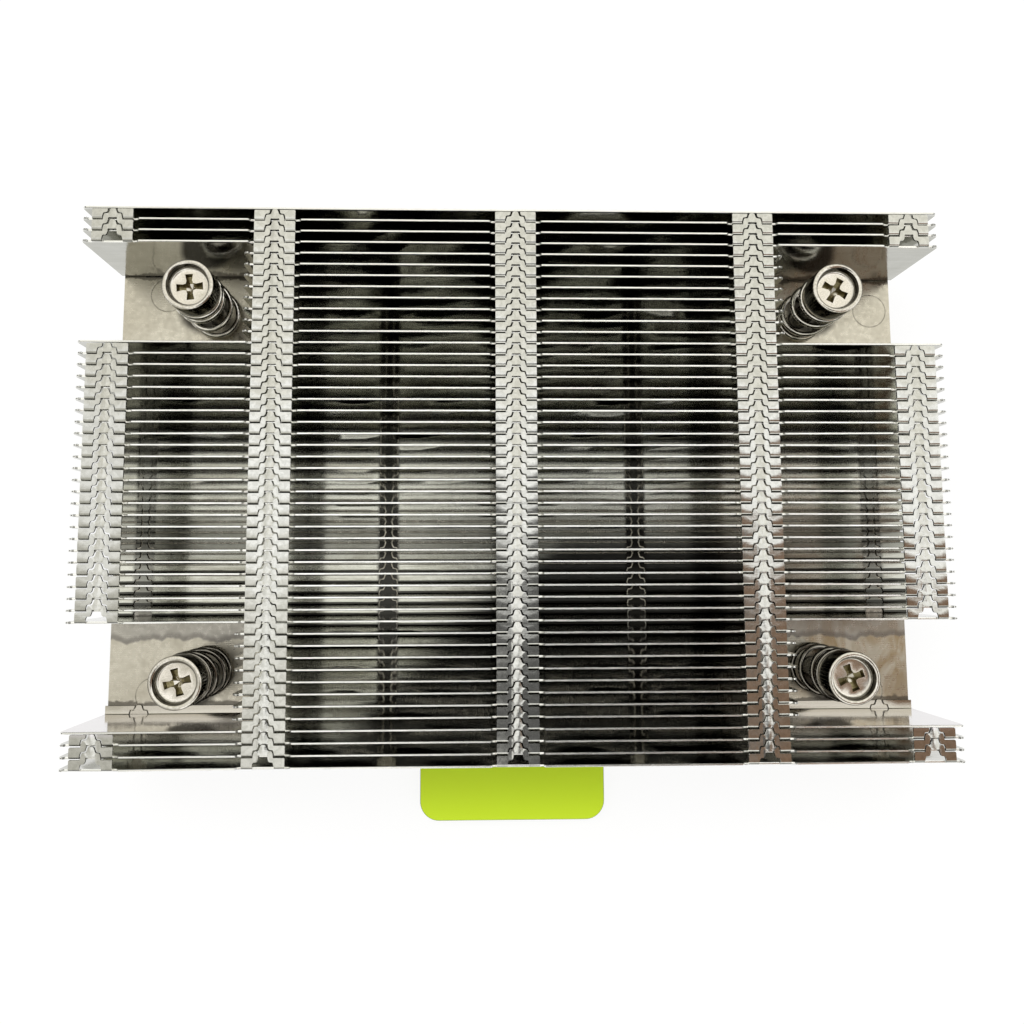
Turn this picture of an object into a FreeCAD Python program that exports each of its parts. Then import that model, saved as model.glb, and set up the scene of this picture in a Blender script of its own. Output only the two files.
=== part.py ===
"""Low passive heatsink for a server processor.

A nickel-plated base plate carries a stack of 49 folded sheet-metal fins. Every fin has a foot
flange that is soldered to the plate, and top tabs that reach to the next fin and hook into it.
The fins beside the four screws are short, which leaves the plate open at its corners. Each
spring-loaded screw is captive: its thread is wider than the tapped bore that its neck runs in.

Frame: origin at the centre of the processor contact face, +X along the fins, +Y across the
stack towards the fin without tabs, +Z up. Millimetres.
"""
import FreeCAD, Part
import math
import os

import Sketcher
from FreeCAD import Vector

doc = FreeCAD.newDocument("ServerHeatsink")

# ---------------------------------------------------------------------------------------------
# Driving dimensions
# ---------------------------------------------------------------------------------------------
SIZES = {
    # contact pad and base plate
    "pad_length": 50.0,
    "pad_width": 42.0,
    "pad_height": 3.0,
    "plate_thickness": 4.5,
    "plate_margin": 0.15,
    "plate_corner_chamfer": 1.0,
    # fin stack
    "fin_count": 49,
    "fin_pitch": 1.65,
    "fin_height": 15.5,
    "long_fin_length": 125.1,
    "fin_overhang": 0.35,
    "short_fin_length": 78.6,
    "sheet_thickness": 0.3,
    "lap_gap": 0.1,
    # top tabs that hook each fin to the next
    "tab_width": 5.9,
    "inner_column_inset": 4.4,
    "outer_column_inset": 4.4,
    "hook_root_width": 2.9,
    "hook_tip_width": 1.3,
    "hook_depth": 1.75,
    "hook_gap": 0.1,
    # captive screws on the socket's 94 x 56 stud pattern
    "screw_spacing_x": 94.0,
    "screw_spacing_y": 56.0,
    "head_diameter": 7.4,
    "head_height": 4.1,
    "neck_diameter": 3.05,
    "thread_diameter": 4.0,
    "neck_clearance": 0.1,
    "thread_stop_gap": 0.15,
    "tip_lift": 0.3,
    # springs under the screw heads
    "spring_height": 12.0,
    "spring_outer_diameter": 7.7,
    "spring_wire_diameter": 0.8,
    "spring_turns": 4,
    "spring_end_gap": 0.05,
    # pull tab stuck under the plate
    "tab_strip_width": 29.2,
    "tab_strip_reach": 12.2,
    "tab_strip_overlap": 7.0,
    "tab_strip_thickness": 0.5,
    "tab_strip_corner_radius": 3.0,
}

sizes = doc.addObject("Spreadsheet::Sheet", "Sizes")
for row, (alias, value) in enumerate(SIZES.items(), 1):
    sizes.set(f"A{row}", alias)
    sizes.set(f"B{row}", str(value))
    sizes.setAlias(f"B{row}", alias)

# Worked out from the driving dimensions, in the same sheet
DERIVED = {
    "plate_top": "=pad_height + plate_thickness",
    "plate_length": "=long_fin_length - 2 * fin_overhang",
    "plate_width": "=(fin_count - 1) * fin_pitch + sheet_thickness + 2 * plate_margin",
    "inner_column": "=short_fin_length / 2 - inner_column_inset",
    "outer_column": "=long_fin_length / 2 - outer_column_inset",
    "lap_reach": "=fin_pitch - sheet_thickness / 2 - lap_gap",
    "tongue_reach": "=fin_pitch + hook_depth - hook_gap",
    "bore_diameter": "=neck_diameter + 2 * neck_clearance",
    "thread_stop": "=-plate_thickness - thread_stop_gap",
    "thread_tip": "=tip_lift - pad_height - plate_thickness",
}
for row, (alias, formula) in enumerate(DERIVED.items(), len(SIZES) + 1):
    sizes.set(f"A{row}", alias)
    sizes.set(f"B{row}", formula)
    sizes.setAlias(f"B{row}", alias)
doc.recompute()


# ---------------------------------------------------------------------------------------------
# Helpers
# ---------------------------------------------------------------------------------------------
def new_sketch(body, role, name, height=None):
    """Sketch on one of the body's own origin planes, lifted by an expression if one is given."""
    sketch = body.newObject("Sketcher::SketchObject", name)
    plane = next(f for f in body.Origin.OriginFeatures if f.Role == role)
    sketch.AttachmentSupport = (plane, [""])
    sketch.MapMode = "FlatFace"
    if height:
        sketch.setExpression("AttachmentOffset.Base.z", height)
    return sketch


def bind(sketch, constraint, expression):
    """Adds a constraint whose value follows the expression."""
    index = sketch.addConstraint(constraint)
    sketch.setExpression(f"Constraints[{index}]", expression)


def add_outline(sketch, corners):
    """Closed outline of straight edges. Each corner is a pair of expressions in the sizes."""
    first = sketch.GeometryCount
    count = len(corners)
    spots = [Vector(math.cos(i * math.tau / count), math.sin(i * math.tau / count), 0)
             for i in range(count)]
    for i in range(count):
        sketch.addGeometry(Part.LineSegment(spots[i], spots[(i + 1) % count]))
    for i, (x, y) in enumerate(corners):
        edge = first + i
        following = first + (i + 1) % count
        sketch.addConstraint(Sketcher.Constraint("Coincident", edge, 2, following, 1))
        bind(sketch, Sketcher.Constraint("DistanceX", -1, 1, edge, 1, 1.0), x)
        bind(sketch, Sketcher.Constraint("DistanceY", -1, 1, edge, 1, 1.0), y)


def add_rectangle(sketch, left, right, low, high):
    """Rectangle between four expressions."""
    add_outline(sketch, [(left, low), (right, low), (right, high), (left, high)])


def add_circle(sketch, x, y, diameter):
    """Circle whose centre and diameter follow expressions."""
    index = sketch.addGeometry(Part.Circle(Vector(1, 1, 0), Vector(0, 0, 1), 1.0))
    bind(sketch, Sketcher.Constraint("DistanceX", -1, 1, index, 3, 1.0), x)
    bind(sketch, Sketcher.Constraint("DistanceY", -1, 1, index, 3, 1.0), y)
    bind(sketch, Sketcher.Constraint("Diameter", index, 2.0), diameter)


def pad(body, name, profile, length, both_ways=False):
    """Pads a sketch by an expression."""
    feature = body.newObject("PartDesign::Pad", name)
    feature.Profile = profile
    feature.Midplane = both_ways
    feature.setExpression("Length", length)
    doc.recompute()
    return feature


def pocket(body, name, profile, depth, reverse=False):
    """Cuts a sketch by an expression, and makes sure that the cut took something away."""
    before = body.Shape.Volume
    feature = body.newObject("PartDesign::Pocket", name)
    feature.Profile = profile
    feature.Reversed = reverse
    feature.setExpression("Length", depth)
    doc.recompute()
    if body.Shape.Volume >= before:
        raise ValueError(f"{name} cuts nothing")
    return feature


def finish_edges(body, kind, measure, base, edges, expression):
    """Puts a Fillet or a Chamfer on the named edges of a feature, its size by an expression."""
    feature = body.newObject(f"PartDesign::{kind}", f"{body.Name}{kind}")
    feature.Base = (base, edges)
    feature.setExpression(measure, expression)
    doc.recompute()


def half(alias, sign=""):
    """Expression for half of a size, such as -Sizes.plate_width / 2."""
    return f"{sign}Sizes.{alias} / 2"


subparts = {}


def add_copy(form, label, x="0", y="0", z="0"):
    """Sub-part that repeats a form at a place given by expressions."""
    copy = doc.addObject("App::Link", label)
    copy.LinkedObject = form
    copy.Label = label
    for axis, expression in (("x", x), ("y", y), ("z", z)):
        copy.setExpression(f"Placement.Base.{axis}", expression)
    subparts[label] = copy


# ---------------------------------------------------------------------------------------------
# Base plate: machined with its contact pad in one piece, then nickel plated
# ---------------------------------------------------------------------------------------------
SCREW_CORNERS = {
    "far_left": ("-", ""),
    "far_right": ("", ""),
    "near_left": ("-", "-"),
    "near_right": ("", "-"),
}


def screw_centre(corner):
    """Expressions for the place of one screw in plan."""
    sign_x, sign_y = SCREW_CORNERS[corner]
    return half("screw_spacing_x", sign_x), half("screw_spacing_y", sign_y)


def make_base_plate():
    body = doc.addObject("PartDesign::Body", "BasePlate")
    outline = new_sketch(body, "XY_Plane", "PlateOutline", "Sizes.pad_height")
    add_rectangle(outline, half("plate_length", "-"), half("plate_length"),
                  half("plate_width", "-"), half("plate_width"))
    plate = pad(body, "Plate", outline, "Sizes.plate_thickness")
    upright = [f"Edge{i}" for i, edge in enumerate(plate.Shape.Edges, 1)
               if edge.BoundBox.ZLength > 0.01]
    finish_edges(body, "Chamfer", "Size", plate, upright, "Sizes.plate_corner_chamfer")

    contact = new_sketch(body, "XY_Plane", "ContactOutline")
    add_rectangle(contact, half("pad_length", "-"), half("pad_length"),
                  half("pad_width", "-"), half("pad_width"))
    pad(body, "ContactPad", contact, "Sizes.pad_height")

    bores = new_sketch(body, "XY_Plane", "ScrewBores", "Sizes.pad_height")
    for corner in SCREW_CORNERS:
        add_circle(bores, *screw_centre(corner), "Sizes.bore_diameter")
    pocket(body, "ScrewBoreCut", bores, "Sizes.plate_thickness", reverse=True)
    body.Label = "base_plate"
    subparts["base_plate"] = body


make_base_plate()


# ---------------------------------------------------------------------------------------------
# Fins: stamped from thin sheet, foot flange and top tabs folded towards the next fin
# ---------------------------------------------------------------------------------------------
FOOT_SECTION = [
    ("-Sizes.sheet_thickness / 2", "0"),
    ("Sizes.lap_reach", "0"),
    ("Sizes.lap_reach", "Sizes.sheet_thickness"),
    ("Sizes.sheet_thickness / 2", "Sizes.sheet_thickness"),
    ("Sizes.sheet_thickness / 2", "Sizes.fin_height"),
    ("-Sizes.sheet_thickness / 2", "Sizes.fin_height"),
]
PLAIN_SECTION = [
    ("-Sizes.sheet_thickness / 2", "0"),
    ("Sizes.sheet_thickness / 2", "0"),
    ("Sizes.sheet_thickness / 2", "Sizes.fin_height"),
    ("-Sizes.sheet_thickness / 2", "Sizes.fin_height"),
]
MIDDLE = ["0"]
INNER = ["-Sizes.inner_column", "Sizes.inner_column"]
OUTER = ["-Sizes.outer_column", "Sizes.outer_column"]


TAB, ROOT, TIP, GAP = (f"Sizes.{name}" for name in (
    "tab_width / 2", "hook_root_width / 2", "hook_tip_width / 2", "hook_gap"))


def tongue_outline(column):
    """Tab with a tapered tongue in front that reaches over the next fin."""
    return [
        (f"{column} - {TAB}", "0"),
        (f"{column} - {TAB}", "Sizes.lap_reach"),
        (f"{column} - {ROOT} + {GAP}", "Sizes.lap_reach"),
        (f"{column} - {TIP} + {GAP}", "Sizes.tongue_reach"),
        (f"{column} + {TIP} - {GAP}", "Sizes.tongue_reach"),
        (f"{column} + {ROOT} - {GAP}", "Sizes.lap_reach"),
        (f"{column} + {TAB}", "Sizes.lap_reach"),
        (f"{column} + {TAB}", "0"),
    ]


def keyhole_outline(column):
    """Hole across the fold that takes the tongue of the fin behind."""
    return [
        (f"{column} - {ROOT}", "-Sizes.sheet_thickness"),
        (f"{column} - {TIP}", "Sizes.hook_depth"),
        (f"{column} + {TIP}", "Sizes.hook_depth"),
        (f"{column} + {ROOT}", "-Sizes.sheet_thickness"),
    ]


def make_fin_form(name, length, section, laps=(), tongues=(), keyholes=()):
    """Fin at the origin. Laps, tongues and keyholes each name the columns that have them."""
    body = doc.addObject("PartDesign::Body", name)
    profile = new_sketch(body, "YZ_Plane", f"{name}Section")
    add_outline(profile, section)
    pad(body, f"{name}Sheet", profile, f"Sizes.{length}", both_ways=True)

    tab_level = "Sizes.fin_height - Sizes.sheet_thickness"
    if laps or tongues:
        tabs = new_sketch(body, "XY_Plane", f"{name}TabOutline", tab_level)
        for column in laps:
            add_rectangle(tabs, f"{column} - {TAB}", f"{column} + {TAB}", "0", "Sizes.lap_reach")
        for column in tongues:
            add_outline(tabs, tongue_outline(column))
        pad(body, f"{name}Tabs", tabs, "Sizes.sheet_thickness")
    holes = new_sketch(body, "XY_Plane", f"{name}KeyholeOutline", tab_level)
    for column in keyholes:
        add_outline(holes, keyhole_outline(column))
    pocket(body, f"{name}Keyholes", holes, "Sizes.sheet_thickness", reverse=True)
    return body


END_FIN = make_fin_form("EndFin", "long_fin_length", PLAIN_SECTION, keyholes=INNER)
SECOND_FIN = make_fin_form("SecondFin", "long_fin_length", FOOT_SECTION,
                           laps=INNER + MIDDLE + OUTER, keyholes=INNER)
LONG_FIN = make_fin_form("LongFin", "long_fin_length", FOOT_SECTION,
                         laps=MIDDLE + OUTER, tongues=INNER, keyholes=INNER)
SHORT_FIN = make_fin_form("ShortFin", "short_fin_length", FOOT_SECTION,
                          laps=MIDDLE, tongues=INNER, keyholes=INNER)
# Behind a short row, a long fin's ends have no neighbour to lap over
GROUP_FIN = make_fin_form("GroupFin", "long_fin_length", FOOT_SECTION,
                          laps=MIDDLE, tongues=INNER, keyholes=INNER)
SHORT_ROWS = {*range(5, 13), *range(38, 46)}

for number in range(1, SIZES["fin_count"] + 1):
    if number == 1:
        form = END_FIN
    elif number == 2:
        form = SECOND_FIN
    elif number in SHORT_ROWS:
        form = SHORT_FIN
    elif number - 1 in SHORT_ROWS:
        form = GROUP_FIN
    else:
        form = LONG_FIN
    add_copy(form, f"fin_{number:02d}",
             y=f"((Sizes.fin_count + 1) / 2 - {number}) * Sizes.fin_pitch", z="Sizes.plate_top")


# ---------------------------------------------------------------------------------------------
# Captive screws: turned, with a drum head, a plain neck and a thread wider than the bore
# ---------------------------------------------------------------------------------------------
def make_screw_form():
    """Screw with its own zero at the plate's top face."""
    body = doc.addObject("PartDesign::Body", "CaptiveScrew")
    profile = new_sketch(body, "XZ_Plane", "ScrewProfile")
    head_top = "Sizes.spring_height + Sizes.head_height"
    add_outline(profile, [
        ("0", "Sizes.thread_tip"),
        (half("thread_diameter"), "Sizes.thread_tip"),
        (half("thread_diameter"), "Sizes.thread_stop"),
        (half("neck_diameter"), "Sizes.thread_stop"),
        (half("neck_diameter"), "Sizes.spring_height"),
        (half("head_diameter"), "Sizes.spring_height"),
        (half("head_diameter"), head_top),
        ("0", head_top),
    ])
    turned = body.newObject("PartDesign::Revolution", "ScrewTurned")
    turned.Profile = profile
    turned.ReferenceAxis = (profile, ["V_Axis"])
    turned.Angle = 360.0
    doc.recompute()
    return body


screw_form = make_screw_form()
for corner in SCREW_CORNERS:
    x, y = screw_centre(corner)
    add_copy(screw_form, f"screw_{corner}", x, y, "Sizes.plate_top")


# ---------------------------------------------------------------------------------------------
# Springs: round wire coils with closed ends, drawn with flat facets along the wire
# ---------------------------------------------------------------------------------------------
FACETS_PER_TURN = 5
COIL_STARTS = {"far_left": 20.0, "far_right": 110.0, "near_left": 200.0, "near_right": 290.0}


def coil_solid(start_degrees):
    """Solid of a diamond section carried round a helix.

    The first and last turn climb by just over one wire, and the turns between share the rest.
    """
    wire = sizes.spring_wire_diameter / 2
    radius = sizes.spring_outer_diameter / 2 - wire
    bottom = sizes.spring_end_gap + wire
    top = sizes.spring_height - sizes.spring_end_gap - wire
    turns = sizes.spring_turns
    end_climb = 2.2 * wire
    open_climb = (top - bottom - 2 * end_climb) / (turns - 2)

    def centre_height(turn):
        """Height of the wire's centre after a number of turns."""
        if turn <= 1:
            return bottom + end_climb * turn
        if turn >= turns - 1:
            return top - end_climb * (turns - turn)
        return bottom + end_climb + open_climb * (turn - 1)

    rings = []
    for step in range(int(round(turns * FACETS_PER_TURN)) + 1):
        turn = step / FACETS_PER_TURN
        angle = math.radians(start_degrees) + math.tau * turn
        outward = Vector(math.cos(angle), math.sin(angle), 0)
        centre = outward * radius + Vector(0, 0, centre_height(turn))
        rings.append([centre + outward * wire, centre + Vector(0, 0, wire),
                      centre - outward * wire, centre - Vector(0, 0, wire)])

    def face(*corners):
        return Part.Face(Part.makePolygon([*corners, corners[0]]))

    faces = [face(*rings[0]), face(*rings[-1])]
    for ring, following in zip(rings, rings[1:]):
        for i in range(4):
            j = (i + 1) % 4
            faces.append(face(ring[i], ring[j], following[j]))
            faces.append(face(ring[i], following[j], following[i]))
    solid = Part.Solid(Part.Shell(faces))
    if solid.Volume < 0:
        solid.reverse()
    return solid


for corner in SCREW_CORNERS:
    spring = doc.addObject("Part::Feature", f"spring_{corner}")
    spring.Shape = coil_solid(COIL_STARTS[corner])
    for axis, expression in zip("xyz", (*screw_centre(corner), "Sizes.plate_top")):
        spring.setExpression(f"Placement.Base.{axis}", expression)
    spring.Label = f"spring_{corner}"
    subparts[spring.Label] = spring


# ---------------------------------------------------------------------------------------------
# Pull tab: a die-cut plastic strip with rounded outer corners, stuck to the plate's underside
# ---------------------------------------------------------------------------------------------
def make_pull_tab():
    body = doc.addObject("PartDesign::Body", "PullTab")
    outline = new_sketch(body, "XY_Plane", "StripOutline",
                         "Sizes.pad_height - Sizes.tab_strip_thickness")
    add_rectangle(outline, half("tab_strip_width", "-"), half("tab_strip_width"),
                  "-Sizes.plate_width / 2 - Sizes.tab_strip_reach",
                  "-Sizes.plate_width / 2 + Sizes.tab_strip_overlap")
    strip = pad(body, "Strip", outline, "Sizes.tab_strip_thickness")
    outer_end = strip.Shape.BoundBox.YMin + 0.01
    corners = [f"Edge{i}" for i, edge in enumerate(strip.Shape.Edges, 1)
               if edge.BoundBox.ZLength > 0.01 and edge.BoundBox.YMax < outer_end]
    finish_edges(body, "Fillet", "Radius", strip, corners, "Sizes.tab_strip_corner_radius")
    body.Label = "pull_tab"
    subparts["pull_tab"] = body


make_pull_tab()


# ---------------------------------------------------------------------------------------------
# Check and write
# ---------------------------------------------------------------------------------------------
doc.recompute()
for item in doc.Objects:
    if "Invalid" in item.State or "Error" in item.State:
        raise RuntimeError(f"{item.Name} failed: {item.State}")
for label, item in subparts.items():
    if item.Shape.isNull() or not item.Shape.isValid() or len(item.Shape.Solids) != 1:
        raise RuntimeError(f"{label} is not one valid solid")

os.makedirs("parts", exist_ok=True)
for label, item in subparts.items():
    item.Shape.exportStep(f"parts/{label}.step")
print(f"{len(subparts)} sub-parts written")
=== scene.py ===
import math

import bpy
import numpy as np
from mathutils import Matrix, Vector
from mathutils.geometry import delaunay_2d_cdt


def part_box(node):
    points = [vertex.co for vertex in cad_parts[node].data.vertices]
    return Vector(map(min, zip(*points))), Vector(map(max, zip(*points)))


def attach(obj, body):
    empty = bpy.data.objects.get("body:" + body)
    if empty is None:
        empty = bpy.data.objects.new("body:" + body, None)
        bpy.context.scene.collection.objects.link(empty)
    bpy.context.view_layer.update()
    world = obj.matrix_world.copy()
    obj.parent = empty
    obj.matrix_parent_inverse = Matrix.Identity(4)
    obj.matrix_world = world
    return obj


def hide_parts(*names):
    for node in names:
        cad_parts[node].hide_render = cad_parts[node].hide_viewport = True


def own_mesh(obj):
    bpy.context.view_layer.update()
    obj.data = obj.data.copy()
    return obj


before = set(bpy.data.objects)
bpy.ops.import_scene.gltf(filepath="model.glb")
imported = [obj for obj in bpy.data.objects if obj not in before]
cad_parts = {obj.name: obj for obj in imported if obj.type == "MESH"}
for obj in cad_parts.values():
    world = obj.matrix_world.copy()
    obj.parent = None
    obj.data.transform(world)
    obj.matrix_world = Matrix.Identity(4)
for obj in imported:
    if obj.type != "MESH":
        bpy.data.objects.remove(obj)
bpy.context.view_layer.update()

# ---------------------------------------------------------------------------------------------
# Base plate: aluminium, milled in one piece with its contact pad, drilled for the four screws
# and nickel plated. The fins are soldered on it, which left seams, rings and flux stains.
# ---------------------------------------------------------------------------------------------
MM = 0.001
CORNERS = ("far_left", "far_right", "near_left", "near_right")
SEAM_ROWS = (34.5, -19.95, -33.2)
SEAM_SMUDGES = ((-57.6, 34.6, 2.6), (60.3, 34.4, 2.0))
RING_PLACES = ((-55.2, 31.5), (58.8, 29.4), (-55.4, -31.8), (55.4, -31.8))


def box_mm(node):
    """Lowest and highest corner of a CAD node in millimetres, as two arrays."""
    low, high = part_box(node)
    return np.array(low) / MM, np.array(high) / MM


def srgb(code):
    """Linear colour for a hex code."""
    parts = [int(code[i:i + 2], 16) / 255 for i in (0, 2, 4)]
    return [p / 12.92 if p <= 0.04045 else ((p + 0.055) / 1.055) ** 2.4 for p in parts] + [1.0]


def add(tree, kind, values=None, **settings):
    """Node of a kind, with its settings, and its sockets set to a value or linked to a socket."""
    node = tree.nodes.new(kind)
    for name, value in settings.items():
        setattr(node, name, value)
    for name, value in (values or {}).items():
        if isinstance(value, bpy.types.NodeSocket):
            tree.links.new(value, node.inputs[name])
        else:
            node.inputs[name].default_value = value
    return node


def new_material(name, **values):
    """Material with one Principled shader. Values go to its sockets, underscores for spaces."""
    material = bpy.data.materials.new(name)
    material.use_nodes = True
    tree = material.node_tree
    shader = next(n for n in tree.nodes if n.type == "BSDF_PRINCIPLED")
    for socket, value in values.items():
        shader.inputs[socket.replace("_", " ")].default_value = value
    return material, tree, shader


def object_space(tree, scale=(1.0, 1.0, 1.0)):
    """Object coordinates in millimetres, times a scale for each axis."""
    coordinates = add(tree, "ShaderNodeTexCoord")
    size = tuple(s / MM for s in scale)
    return add(tree, "ShaderNodeMapping", {"Vector": coordinates.outputs["Object"],
                                           "Scale": size}).outputs["Vector"]


def noise(tree, vector, scale, detail=3.0, roughness=0.55, distortion=0.0):
    """Value of a noise texture, 0 to 1."""
    node = add(tree, "ShaderNodeTexNoise", {"Vector": vector, "Scale": scale, "Detail": detail,
                                            "Roughness": roughness, "Distortion": distortion})
    return node.outputs["Fac"]


def span(tree, value, low, high, first=0.0, last=1.0, smooth=False):
    """Value mapped from low..high to first..last, clamped."""
    node = add(tree, "ShaderNodeMapRange", {"Value": value, "From Min": low, "From Max": high,
                                            "To Min": first, "To Max": last},
               interpolation_type="SMOOTHSTEP" if smooth else "LINEAR")
    return node.outputs["Result"]


def math_node(tree, operation, result, *others):
    """Result of a math operation, carried on from the first value over all the others."""
    for other in others or (0.0,):
        node = add(tree, "ShaderNodeMath", {0: result, 1: other}, operation=operation)
        result = node.outputs["Value"]
    return result


def product(tree, *values):
    """Product of numbers and sockets."""
    return math_node(tree, "MULTIPLY", *values)


def total(tree, *values):
    """Sum of numbers and sockets."""
    return math_node(tree, "ADD", *values)


def distance_to(tree, value, middle):
    """How far a value lies from another, on either side."""
    return math_node(tree, "ABSOLUTE", math_node(tree, "SUBTRACT", value, middle))


def blend_colours(tree, factor, first, second):
    """Colour mixed between two, each a hex code or a socket."""
    node = add(tree, "ShaderNodeMix", data_type="RGBA")
    for index, value in ((0, factor), (6, first), (7, second)):
        if isinstance(value, bpy.types.NodeSocket):
            tree.links.new(value, node.inputs[index])
        else:
            node.inputs[index].default_value = srgb(value) if isinstance(value, str) else value
    return node.outputs[2]


def set_bump(tree, shader, height, strength, distance):
    """Bump from a height socket on a shader."""
    bump = add(tree, "ShaderNodeBump", {"Height": height, "Strength": strength,
                                        "Distance": distance})
    tree.links.new(bump.outputs["Normal"], shader.inputs["Normal"])


def spot(tree, vector, x, y, inner, outer):
    """Mask of a round spot in plan, 1 within the inner radius and 0 beyond the outer, and the
    distance from its middle.
    """
    parts = add(tree, "ShaderNodeSeparateXYZ", {"Vector": vector}).outputs
    squares = (math_node(tree, "POWER", math_node(tree, "SUBTRACT", parts[axis], middle), 2.0)
               for axis, middle in (("X", x), ("Y", y)))
    away = math_node(tree, "SQRT", total(tree, *squares))
    return span(tree, away, inner, outer, 1.0, 0.0, smooth=True), away


def plate_material():
    """Satin nickel over milled aluminium: cutter lines along the plate, a fine grain, and on its
    top the seams, rings and stains that soldering left. Lengths are in millimetres.
    """
    material, tree, shader = new_material("nickel_plated_base", Metallic=1.0, Roughness=0.3)
    place = object_space(tree)
    parts = add(tree, "ShaderNodeSeparateXYZ", {"Vector": place}).outputs
    cloud = noise(tree, place, 0.09, 4.0, 0.6, 0.4)
    grain = noise(tree, place, 1.4, 3.0, 0.5)
    blotch = noise(tree, place, 0.3, 5.0, 0.65, 0.8)
    top = box_mm("base_plate")[1][2]
    on_top = span(tree, parts["Z"], top - 0.4, top - 0.1)
    colour = blend_colours(tree, span(tree, cloud, 0.35, 0.68), "D6D1C2", "C4BEAE")
    colour = blend_colours(tree, span(tree, grain, 0.3, 0.8, 0.0, 0.4), colour, "A8A190")

    # brown heat stains towards the near right corner
    stain, _ = spot(tree, place, 55.0, -25.0, 5.0, 16.0)
    streaks = noise(tree, object_space(tree, (0.22, 0.1, 0.2)), 1.0, 4.0, 0.6, 1.5)
    stain = product(tree, stain, span(tree, streaks, 0.38, 0.62), on_top, 0.8)
    colour = blend_colours(tree, stain, colour, "A08A66")

    # grey flux that ran out under the middle block, with a wavy front
    wave = noise(tree, object_space(tree, (0.16, 0.0, 0.0)), 1.0, 3.0, 0.6)
    edge = total(tree, parts["Y"], product(tree, wave, 5.0))
    run = product(tree, span(tree, edge, -21.0, -20.6, smooth=True),
                  span(tree, parts["Y"], -19.0, -18.0, 1.0, 0.0), on_top)
    front = product(tree, run, span(tree, edge, -20.4, -19.6, 1.0, 0.0, smooth=True))
    colour = blend_colours(tree, product(tree, run, 0.45), colour, "908F90")
    colour = blend_colours(tree, product(tree, front, 0.5), colour, "5F5A55")

    # dark solder seams along the feet that border the screw corners, thicker in places
    width = span(tree, blotch, 0.35, 0.7, 0.25, 1.3)
    seams = 0.0
    for y in SEAM_ROWS:
        away = distance_to(tree, parts["Y"], y)
        near = math_node(tree, "SUBTRACT", 1.0, math_node(tree, "DIVIDE", away, width))
        seams = math_node(tree, "MAXIMUM", seams, span(tree, near, 0.0, 0.5, smooth=True))
    for x, y, size in SEAM_SMUDGES:
        smudge, _ = spot(tree, place, x, y, 0.0, size)
        smudge = product(tree, smudge, span(tree, grain, 0.3, 0.6))
        seams = math_node(tree, "MAXIMUM", seams, smudge)
    colour = blend_colours(tree, product(tree, seams, on_top, 0.75), colour, "4A453E")

    # shade painted dark on the plate under the springs
    for corner in CORNERS:
        low, high = box_mm(f"screw_{corner}")
        x, y = (low + high)[:2] / 2 * 1.05
        spring_shade, _ = spot(tree, place, x, y, 3.4, 4.9)
        colour = blend_colours(tree, product(tree, spring_shade, on_top, 0.9), colour, "24221F")

    # pressed rings beside the screws
    height = product(tree, grain, 0.25)
    for x, y in RING_PLACES:
        _, away = spot(tree, place, x, y, 0.0, 1.0)
        ring = product(tree, span(tree, away, 2.55, 2.68, smooth=True),
                       span(tree, away, 2.68, 2.85, 1.0, 0.0, smooth=True),
                       span(tree, blotch, 0.3, 0.55, 0.4, 1.0), on_top)
        colour = blend_colours(tree, product(tree, ring, 0.65), colour, "4A453C")
        height = math_node(tree, "SUBTRACT", height, ring)
    tree.links.new(colour, shader.inputs["Base Color"])

    cutter = add(tree, "ShaderNodeTexWave", {"Vector": place, "Scale": 1.1, "Distortion": 0.6,
                                             "Detail": 2.0}, bands_direction="Y")
    height = total(tree, height, product(tree, cutter.outputs["Fac"], 0.12),
                   product(tree, cloud, 2.0))
    set_bump(tree, shader, height, 0.25, 0.00006)
    tree.links.new(span(tree, grain, 0.25, 0.8, 0.22, 0.4), shader.inputs["Roughness"])
    return material


plate_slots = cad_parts["base_plate"].data.materials
plate_slots.clear()
plate_slots.append(plate_material())

# ---------------------------------------------------------------------------------------------
# Fins: bright nickel-plated sheet, 0.3 mm thick, each stamped flat with its tongues, keyholes
# and bend reliefs and then folded at the foot and at the top tabs. The tongue of every fin
# reaches over the next fin and hooks into its keyhole; the foot flanges are soldered down.
# ---------------------------------------------------------------------------------------------
PLATE_TOP = box_mm("base_plate")[1][2]
# Millimetres. BEND is the bend's radius in the middle of the sheet, and REACH how far the tabs
# and the foot come forward. The bulges are of the sheared edge: on the wall, and on the tabs and
# the foot. CLEAR keeps apart what must not quite touch.
SHEET = 0.3
BEND = 0.3
REACH = 1.4
CLEAR = 0.02
PITCH = box_mm("fin_04")[0][1] - box_mm("fin_05")[0][1]
FIN_HEIGHT = box_mm("fin_01")[1][2] - box_mm("fin_01")[0][2]
EDGE_BULGE = 0.05
TAB_BULGE = 0.02
LONG_HALF = box_mm("fin_03")[1][0] - EDGE_BULGE
SHORT_HALF = box_mm("fin_05")[1][0] - EDGE_BULGE
COLUMNS = (-58.15, -34.9, 0.0, 34.9, 58.15)
INNER_COLUMNS = COLUMNS[1:4]
FOOT_COLUMNS = (-57.4, -19.5, 19.5, 57.4)
TAB_HALF = 2.95
FOLD_STEPS = 5

# Runs along the flat sheet, from the front edge of the foot upwards
ARC = BEND * math.pi / 2
FOOT_END = REACH - BEND
WALL_LOW = FOOT_END + ARC
WALL_HIGH = WALL_LOW + FIN_HEIGHT - SHEET - 2 * BEND
FREE_EDGE = WALL_HIGH + BEND + SHEET / 2 - EDGE_BULGE

# Bend reliefs beside the tabs, rounded ends of the free edge, and grid lines on the wall
RELIEF = 0.6
RELIEF_SLOPE = 0.25
RELIEF_LOW = WALL_HIGH + 0.06
END_RADIUS = 0.6
WALL_ROWS = (5.0, 10.0)
WALL_STEP = 4.05
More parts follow.
